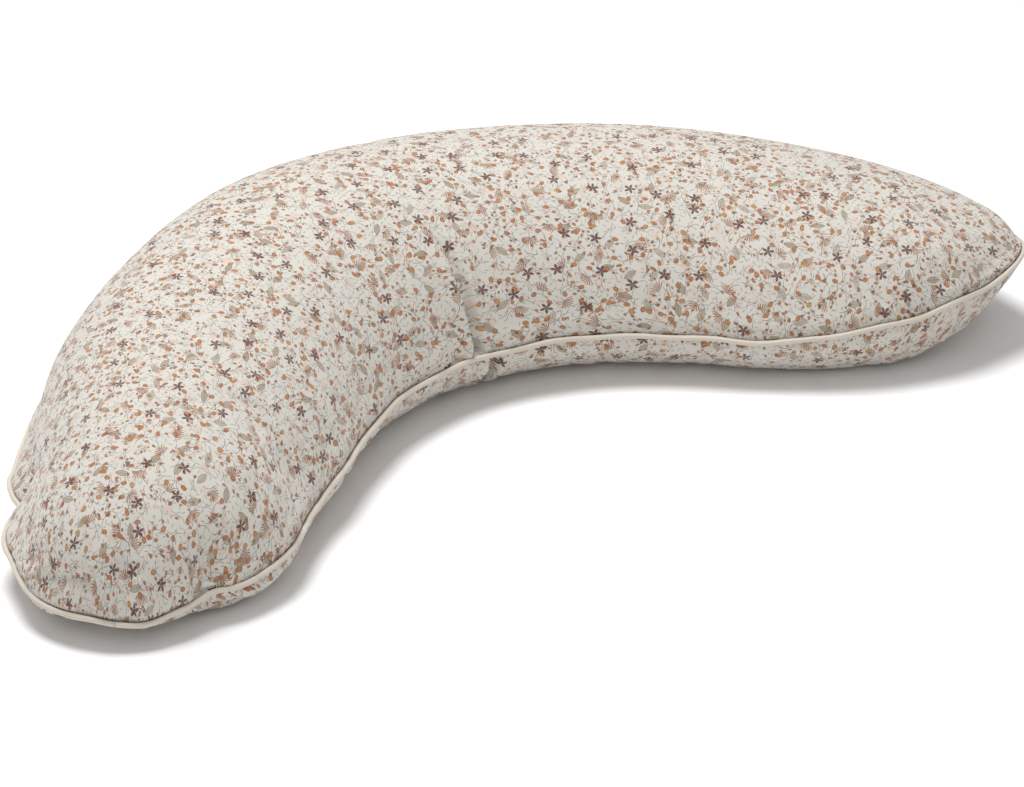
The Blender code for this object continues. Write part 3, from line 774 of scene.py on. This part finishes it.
    spot, there, look = scatter(p, place, "buds")
    x, y, _ = p.parts(spot)
    wedge = p.soft(0.0002 + (x + 0.0020) * 0.36 - abs(y), 0.00030)
    wedge = wedge * p.soft(0.0017 - abs(x), 0.00030)
    colour = p.mix(oval(p, spot, (0.0018, 0.0), (0.0009, 0.0015)) * there * 0.9, colour, c["peach"])
    colour = p.mix(wedge * there * (0.5 + look * 0.35), colour, c["plum"])

    spot, there, look = scatter(p, place, "plumFlowers")
    x, y, _ = p.parts(spot)
    angle, far = p.math("ARCTAN2", y, x), p.vector("LENGTH", spot, output=1)
    aside = p.math("PINGPONG", angle * (5.0 / (2 * math.pi)), 0.5) * far * (2 * math.pi / 5.0)
    reachOut = p.math("MULTIPLY_ADD", far, 1.0 / 0.0047, 0.0, clamp=True)
    spread = p.math("SINE", (reachOut ** 1.25) * math.pi) * 0.00092 + 0.00012
    petals = p.soft(spread - aside, 0.00018)
    petals = petals * p.math("LESS_THAN", far, 0.0046)
    plum = p.mix(p.math("MULTIPLY_ADD", far, 560.0, 0.0, clamp=True), c["plumHeart"], c["plum"])
    colour = p.mix(petals * there * 0.92, colour, p.mix(wash * 0.35, plum, c["rust"]))

    p.give("Base Color", colour)
    weave = p.weave(place, cotton["yarn"]) * (cotton["weaveDepth"] / 2)
    crumple = p.noise(place, 95.0, 5.0) * cotton["crumple"]
    p.bump(weave + crumple)
    return p.material


def ride(piece, slot, material, *nodes):
    # the piece's material, its body and the plain solid that it stands for; its slot is not used
    piece.data.materials.append(material)
    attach(piece, "pillow")
    if nodes:
        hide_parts(*nodes)
    return piece


def panel(name, grid, flat, up, thickness):
    # one sheet of cloth on a grid of points, its wall inward, with its flat pattern as its uv
    faces = gridFaces(*grid.shape[:2])
    piece = makeMesh(name, grid.reshape(-1, 3), faces if up else faces[:, ::-1])
    setUv(piece, flat.reshape(-1, 2))
    wall = piece.modifiers.new("thickness", "SOLIDIFY")
    wall.thickness, wall.offset = thickness, -1.0
    return piece


printed = printedCotton()
for name, grid, flat, node in (("coverTop", topGrid, topFlat, "cover_top_panel"),
                               ("coverBottom", baseGrid, baseFlat, "cover_bottom_panel")):
    coverPiece = panel(name, grid, flat, grid is topGrid, cover["thickness"])
    ride(coverPiece, "printed_cotton", printed, node)
say("cover")

inner = {
    "gap": 0.0048,          # case behind the cover
    "seamGap": 0.0095,      # and further in along the seam
    "seamReach": 0.028,
    "thickness": 0.0004,
    "filling": 0.0018,      # filling behind the case
    "threadTurns": 620,
    "thread": 0.00035,
    "threadLoop": (0.0010, 0.0011),     # out from the edge, and over it
    "case": (238, 236, 230),
    "fibre": (244, 244, 242),
}


def sunk(grid, sign, depth, every=2):
    # every so many points of the cover's surface, moved inward by the depth and more near the seam:
    # against the normal along the pillow, and towards the pillow's middle line near the tips
    middle = (topGrid[:, topGrid.shape[1] // 2] + baseGrid[:, baseGrid.shape[1] // 2]) / 2.0
    row = np.linspace(-1.0, 1.0, len(grid))
    inward = readAlong(row * 0.93, row, middle)[:, None] - grid
    far = np.linalg.norm(inward, axis=-1)
    near = fromEdge(grid)
    along = 0.6 * smoothStep((near - 0.004) / 0.02) * smoothStep((0.96 - np.abs(row)) / 0.06)[:, None]
    way = unit(unit(inward) * (1.0 - along)[..., None] - gridNormals(grid, sign) * along[..., None])
    deep = depth + inner["seamGap"] * np.exp(-((near / inner["seamReach"]) ** 2))
    return (grid + way * np.minimum(deep, 0.5 * far)[..., None])[::every, ::every]


def caseCotton():
    # bleached plain weave, a little uneven
    p = Paint("caseCotton", Roughness=0.9, Sheen_Weight=0.2, Specular_IOR_Level=0.25)
    place = p.flatPlace()
    p.give("Base Color", p.mix(p.noise(place, 30.0, 3.0) * 0.5, tint(*inner["case"]), tint(222, 219, 210)))
    p.bump(p.weave(place, 0.0007) * 0.00006 + p.noise(place, 120.0, 3.0) * 0.0004)
    return p.material


def fibreFilling():
    # loose polyester fibre: fine tangled noise at two sizes
    p = Paint("fibreFilling", Roughness=0.95, Sheen_Weight=0.4, Specular_IOR_Level=0.2)
    place = p.objectPlace()
    tangle, fine = p.noise(place, 90.0, 8.0), p.noise(place, 800.0, 4.0)
    p.give("Base Color", p.mix(tangle, tint(*inner["fibre"]), tint(226, 226, 224)))
    p.bump(tangle * 0.003 + fine * 0.0006)
    return p.material


def seamThread():
    # overlock thread: slight sheen, twisted plies
    p = Paint("seamThread", Roughness=0.55, Specular_IOR_Level=0.4)
    place = p.objectPlace()
    ply = p.noise(place, 1500.0, 2.0)
    p.give("Base Color", p.mix(ply * 0.5, tint(236, 232, 222), tint(208, 202, 190)))
    p.bump(ply * 0.0001)
    return p.material


def tubeAlong(name, path, radius, sides, closed, helper=(0.0, 0.0, 1.0)):
    # a round tube along a path; the helper is any direction that the path never runs along
    ahead = np.roll(path, -1, axis=0) - np.roll(path, 1, axis=0) if closed else np.gradient(path, axis=0)
    ahead = unit(ahead)
    across = unit(np.cross(ahead, helper))
    over = np.cross(across, ahead)
    turn = np.linspace(0.0, 2 * math.pi, sides, endpoint=False)
    ring = path[:, None] + radius * (across[:, None] * np.cos(turn)[:, None]
                                     + over[:, None] * np.sin(turn)[:, None])
    faces = gridFaces(len(path), sides, closedRows=closed, closedColumns=True)[:, ::-1].tolist()
    if not closed:
        last = (len(path) - 1) * sides
        faces += [list(range(sides)), list(range(last + sides - 1, last - 1, -1))]
    return makeMesh(name, ring.reshape(-1, 3), faces)


def border(grid):
    # the grid's edge points in order round it
    return np.concatenate([grid[0], grid[1:, -1], grid[-1, -2::-1], grid[-2:0:-1, 0]])


def overlock(edge):
    # thread wound round the case's edge as a helix
    edge = np.concatenate([edge, edge[:1]])
    edgeWay = walked(edge)
    count = inner["threadTurns"] * 8
    core = readAlong(np.linspace(0.0, edgeWay[-1], count, endpoint=False), edgeWay, edge)
    run = unit(np.roll(core, -1, axis=0) - np.roll(core, 1, axis=0))
    out = unit(np.stack([run[:, 1], -run[:, 0], np.zeros(count)], axis=1))
    turn = np.linspace(0.0, inner["threadTurns"] * 2 * math.pi, count, endpoint=False)
    reach, rise = inner["threadLoop"]
    path = core + out * (reach * (0.8 + np.cos(turn)))[:, None]
    path[:, 2] += rise * np.sin(turn)
    return tubeAlong("caseOverlock", path, inner["thread"], 5, True, run)


def fibreBody(top, base):
    # closed body between two grids that are drawn together at their edges
    middle = (top + base) / 2.0
    for grid in (top, base):
        grid[[0, -1]] = middle[[0, -1]]
        grid[:, [0, -1]] = middle[:, [0, -1]]
    faces = gridFaces(*top.shape[:2])
    piece = makeMesh("fibre", np.concatenate([top.reshape(-1, 3), base.reshape(-1, 3)]),
                     np.concatenate([faces, faces[:, ::-1] + top.shape[0] * top.shape[1]]))
    closing = bmesh.new()
    closing.from_mesh(piece.data)
    bmesh.ops.remove_doubles(closing, verts=closing.verts, dist=1e-6)
    closing.to_mesh(piece.data)
    closing.free()
    return piece


caseTop, caseBase = sunk(topGrid, 1.0, inner["gap"]), sunk(baseGrid, -1.0, inner["gap"])
caseMaterial = caseCotton()
for name, grid, flat, node in (("caseTop", caseTop, topFlat, "inner_case_top_panel"),
                               ("caseBottom", caseBase, baseFlat, "inner_case_bottom_panel")):
    casePiece = panel(name, grid, flat[::2, ::2], grid is caseTop, inner["thickness"])
    ride(casePiece, "case_cotton", caseMaterial, node)
thread = seamThread()
ride(overlock((border(caseTop) + border(caseBase)) / 2.0), "case_thread", thread, "inner_case_seam_thread")
fillDepth = inner["gap"] + inner["filling"]
fillPiece = fibreBody(sunk(topGrid, 1.0, fillDepth, 4), sunk(baseGrid, -1.0, fillDepth, 4))
ride(fillPiece, "fibre_filling", fibreFilling(), "filling")
say("inner pillow")

piping = {
    "radius": 0.0020,
    "cord": 0.0015,
    "offset": 0.0023,       # bead's centre outside the outline
    "flange": 0.0075,       # leaves sewn into the seam
    "leaf": 0.00045,
    "sides": 18,
    "points": 1100,
    "colour": (205, 197, 185),
    "yarn": 0.0007,
}


def seamLoop(count):
    # stations evenly spaced round the outline, shifted as the seam wanders, with outward normals
    half = np.sin(np.linspace(-math.pi / 2, math.pi / 2, 1201))
    way = np.concatenate([half, half[-2:0:-1]])
    side = np.concatenate([np.ones(1201), -np.ones(1199)])
    loop = onPlan(way, side, seamHeight(way))
    loop = np.concatenate([loop, loop[:1]])
    way = walked(loop)
    even = np.linspace(0.0, way[-1], count, endpoint=False)
    points = readAlong(even, way, loop)
    run = np.roll(points, -1, axis=0) - np.roll(points, 1, axis=0)
    normal = unit(np.stack([-run[:, 1], run[:, 0], np.zeros(count)], axis=1))
    sideways, up = seamShift(points[:, :2])
    points = leaned(points, np.ones(count), "both") + normal * sideways[:, None]
    points[:, 2] += up
    return points, normal, even


def carried(path, normal, profile):
    # a section of (out, up) pairs carried round a closed path
    up = np.array([0.0, 0.0, 1.0])
    return path[:, None] + normal[:, None] * profile[None, :, :1] + up * profile[None, :, 1:]


def pipingCotton():
    # bias-cut plain weave: yarns cross the bead at 45 degrees
    p = Paint("pipingCotton", Roughness=0.88, Sheen_Weight=0.2, Sheen_Roughness=0.5, Specular_IOR_Level=0.25)
    place = p.flatPlace()
    slow, fine = p.noise(place, 60.0, 2.0), p.noise(place, 900.0, 2.0)
    cream = tint(*piping["colour"])
    colour = p.mix(slow * 0.4, cream, tint(220, 206, 188))
    p.give("Base Color", p.mix(fine * 0.25, colour, tint(240, 230, 216)))
    bias = p.turned(place, math.pi / 4)
    p.bump(p.weave(bias, piping["yarn"]) * 0.00006 + p.noise(place, 260.0, 3.0) * 0.0004)
    return p.material


loopPoints, loopNormal, loopWalk = seamLoop(piping["points"])
mouth = math.asin(piping["leaf"] / piping["radius"])
turn = np.linspace(math.pi - mouth, -math.pi + mouth, piping["sides"])
bead = np.stack([piping["offset"] + piping["radius"] * np.cos(turn), piping["radius"] * np.sin(turn)], axis=1)
leafTop, leafBase = (-piping["flange"], piping["leaf"]), (-piping["flange"], -piping["leaf"])
section = np.concatenate([[leafTop], bead, [leafBase]])
ripple = 1.0 + 0.035 * np.sin(loopWalk * 2 * math.pi / 0.021) * np.sin(loopWalk * 2 * math.pi / 0.13)
tube = carried(loopPoints, loopNormal, section)
tube[:, 1:-1] += ((ripple - 1.0) * piping["radius"])[:, None, None] * (
    loopNormal[:, None] * np.cos(turn)[:, None] + np.array([0.0, 0.0, 1.0]) * np.sin(turn)[:, None])
pipingPiece = makeMesh("pipingBead", tube.reshape(-1, 3),
                       gridFaces(*tube.shape[:2], closedRows=True, closedColumns=True))
pipingUv = np.stack(np.broadcast_arrays(loopWalk[:, None], walked(section)[None]), axis=-1)
setUv(pipingPiece, pipingUv.reshape(-1, 2))
ride(pipingPiece, "piping_cotton", pipingCotton(), "piping_sleeve")
cordPath = loopPoints + loopNormal * piping["offset"]
ride(tubeAlong("pipingCord", cordPath, piping["cord"], 8, True), "filler_cord", thread, "piping_cord")
say("piping")

zipper = {
    "halfAngle": math.radians(21.0),
    "inset": 0.0036,
    "drop": 0.0063,
    "coilPast": (0.006, 0.016),     # radians that the coil runs past the half angle, at its two ends
    "pitch": 0.00125,       # one tooth to the next
    "wire": 0.00024,
    "coilMiddle": (0.00120, 0.00170),   # outward, and away from the zip's own middle line
    "coilHalf": (0.00042, 0.00099),
    "stitch": 0.0026,
    "stitchStep": 0.0034,
    "stitchThread": 0.00026,
    "stitchIn": 0.0032,     # from the cover's edge
    "tape": (226, 218, 203),
    "metal": (196, 192, 184),
}
bendRadius = form["armLength"] / (form["armTurn"] * (1.0 + form["armStraightening"]))
zipCentre = np.array([0.0, shiftY - bendRadius, form["seamHeight"] - zipper["drop"]])
zipRadius = bendRadius + form["halfWidth"] - zipper["inset"]


def zipCoil(name, side, node):
    # flattened helix along the zip's circle, above it (1) or below it (-1)
    before, after = zipper["coilPast"]
    span = 2 * zipper["halfAngle"] + before + after
    turns = round(span * zipRadius / zipper["pitch"])
    t = np.linspace(0.0, 1.0, turns * 10 + 1)
    angle = -zipper["halfAngle"] - before + span * t
    turn = 2 * math.pi * turns * t + (math.pi if side < 0 else 0.0)
    out = np.stack([np.sin(angle), np.cos(angle), np.zeros_like(angle)], axis=1)
    reach = zipRadius + zipper["coilMiddle"][0] + zipper["coilHalf"][0] * np.cos(turn)
    path = zipCentre + out * reach[:, None]
    path[:, 2] += side * (zipper["coilMiddle"][1] + zipper["coilHalf"][1] * np.sin(turn))
    along = np.stack([np.cos(angle), -np.sin(angle), np.zeros_like(angle)], axis=1)
    ride(tubeAlong(name, path, zipper["wire"], 5, False, along), "zip_coil", coilNylon, node)


def nylon():
    p = Paint("coilNylon", Roughness=0.35, Specular_IOR_Level=0.5)
    place = p.objectPlace()
    p.give("Base Color", p.mix(p.noise(place, 300.0, 2.0), tint(*zipper["tape"]), tint(206, 197, 180)))
    return p.material


def tapeWeave():
    # fine ribs along the tape, crossed by its weft
    p = Paint("tapeWeave", Roughness=0.85, Sheen_Weight=0.15, Specular_IOR_Level=0.3)
    place = p.objectPlace()
    x, y, z = p.parts(place)
    rib = p.math("SINE", z * (2 * math.pi / 0.0007))
    weft = p.math("SINE", p.math("ARCTAN2", x, y - float(zipCentre[1])) * (2 * math.pi * zipRadius / 0.0008))
    p.give("Base Color", p.mix(rib * 0.25 + 0.25, tint(*zipper["tape"]), tint(196, 186, 168)))
    p.bump(rib * weft * 0.00006)
    return p.material


def brushedMetal():
    # nickel plate with small scratches and a slightly uneven polish
    p = Paint("brushedMetal", Metallic=1.0)
    place = p.objectPlace()
    streak = p.noise(p.vector("MULTIPLY", place, (1.0, 1.0, 6.0)), 900.0, 4.0)
    p.give("Base Color", p.mix(streak, tint(*zipper["metal"]), tint(168, 163, 154)))
    p.give("Roughness", p.math("MULTIPLY_ADD", streak, 0.25, 0.18))
    p.bump(streak * 0.00003)
    return p.material


def labelTape():
    p = Paint("labelTape", Roughness=0.7, Sheen_Weight=0.1)
    place = p.objectPlace()
    _, _, z = p.parts(place)
    rib = p.math("SINE", z * (2 * math.pi / 0.0005))
    p.give("Base Color", p.mix(p.noise(place, 200.0, 2.0) * 0.4, tint(243, 241, 236), tint(226, 223, 215)))
    p.bump(rib * 0.00003)
    return p.material


def stitches(path, normal):
    # short threads laid end to end along a path: each a six-sided lozenge sinking at its ends
    way = walked(path)
    start = np.arange(0.002, way[-1] - zipper["stitchStep"], zipper["stitchStep"])
    share = np.linspace(0.0, 1.0, 6)
    at = start[:, None] + share * zipper["stitch"]
    points, up = readAlong(at, way, path), readAlong(at, way, normal)
    across = np.cross(unit(np.gradient(points, axis=1)), up)
    hump = np.sin(share * math.pi)
    lift = zipper["stitchThread"] * (1.6 * hump - 0.7)
    turn = np.linspace(0.0, 2 * math.pi, 6, endpoint=False)
    thick = zipper["stitchThread"] * np.maximum(hump, 0.35) ** 0.5
    ring = (points[:, :, None] + up[:, :, None] * lift[None, :, None, None]
            + (across[:, :, None] * np.cos(turn)[:, None] + up[:, :, None] * np.sin(turn)[:, None])
            * thick[None, :, None, None])
    one = gridFaces(6, 6, closedColumns=True)
    caps = np.array([[0, 1, 2, 3], [0, 3, 4, 5], [33, 32, 31, 30], [35, 34, 33, 30]])
    one = np.concatenate([one, caps[:, ::-1]])
    faces = (one[None] + 36 * np.arange(len(start))[:, None, None]).reshape(-1, 4)
    return makeMesh("zipStitches", ring.reshape(-1, 3), faces)


coilNylon = nylon()
zipCoil("zipCoilUpper", 1.0, "zip_coil_upper")
zipCoil("zipCoilLower", -1.0, "zip_coil_lower")
edgeRows = np.abs(s[:, -1]) < cover["zipBandEnd"] - 0.01
edge = baseGrid[edgeRows][:, :-12:-1]
edgeNormal = gridNormals(baseGrid, -1.0)[edgeRows][:, :-12:-1]
edgeWay = walked(edge, 1)
stitchRow, stitchNormal = (
    np.array([readAlong(zipper["stitchIn"], way, row) for way, row in zip(edgeWay, field)])
    for field in (edge, edgeNormal))
ride(stitches(stitchRow, stitchNormal), "case_thread", thread)
metal, tape = brushedMetal(), tapeWeave()
finishes = {
    "zip_tape_upper": tape, "zip_tape_lower": tape, "care_label": labelTape(),
    "zip_slider_body": metal, "zip_pull_tab": metal, "zip_top_stop_upper": metal,
    "zip_top_stop_lower": metal, "zip_bottom_stop": metal,
}
for node, finish in finishes.items():
    for slot in bpy.data.objects[node].material_slots:
        slot.material = finish
say("zip")

view = {
    "azimuth": -34.9,
    "elevation": 28.56,
    "distance": 3.164,
    "lens": 154.6,
    "target": (-0.0242, -0.1167, 0.0525),
}


def placed(name, data, place, ahead):
    # an object that holds a camera or a lamp at a place and looks along a direction
    holder = bpy.data.objects.new(name, data)
    bpy.context.scene.collection.objects.link(holder)
    holder.location = place
    holder.rotation_euler = ahead.to_track_quat("-Z", "Y").to_euler()
    return holder


azimuth, elevation = math.radians(view["azimuth"]), math.radians(view["elevation"])
away = Vector((math.sin(azimuth) * math.cos(elevation), -math.cos(azimuth) * math.cos(elevation),
               math.sin(elevation)))
cameraData = bpy.data.cameras.new("camera")
cameraData.lens, cameraData.sensor_width = view["lens"], 36.0
eye = Vector(view["target"]) + away * view["distance"]
bpy.context.scene.camera = placed("camera", cameraData, eye, -away)

studio = {
    "sky": 0.45,
    "key": {"place": (-0.14, 0.58, 2.75), "size": 1.35, "power": 73.0},
    "fill": {"place": (-1.6, -1.8, 1.8), "size": 2.0, "power": 6.0},
    "floor": (247, 247, 247),
    "aimHeight": 0.05,
    "floorReach": 6.0,
    "floorGap": 0.0004,     # below the pillow's own rest height
}


def softLight(name, place, size, power):
    lamp = bpy.data.lights.new(name, "AREA")
    lamp.shape, lamp.size, lamp.energy = "DISK", size, power
    placed(name, lamp, place, Vector((0.0, 0.0, studio["aimHeight"])) - Vector(place))


for name in ("key", "fill"):
    softLight(name, **studio[name])
world = bpy.data.worlds.new("studio")
world.use_nodes = True
background = world.node_tree.nodes["Background"].inputs
background["Strength"].default_value = studio["sky"]
background["Color"].default_value = (1.0, 1.0, 1.0, 1.0)
bpy.context.scene.world = world
bpy.context.scene.view_settings.view_transform = "Standard"

reach, under = studio["floorReach"], -studio["floorGap"]
corners = [(x * reach, y * reach, under) for x, y in ((-1, -1), (1, -1), (1, 1), (-1, 1))]
floorPiece = makeMesh("floor", corners, [(0, 1, 2, 3)], smooth=False)
floorPaint = Paint("floorPaint", Base_Color=tint(*studio["floor"]), Roughness=0.9)
floorPiece.data.materials.append(floorPaint.material)
say("studio")
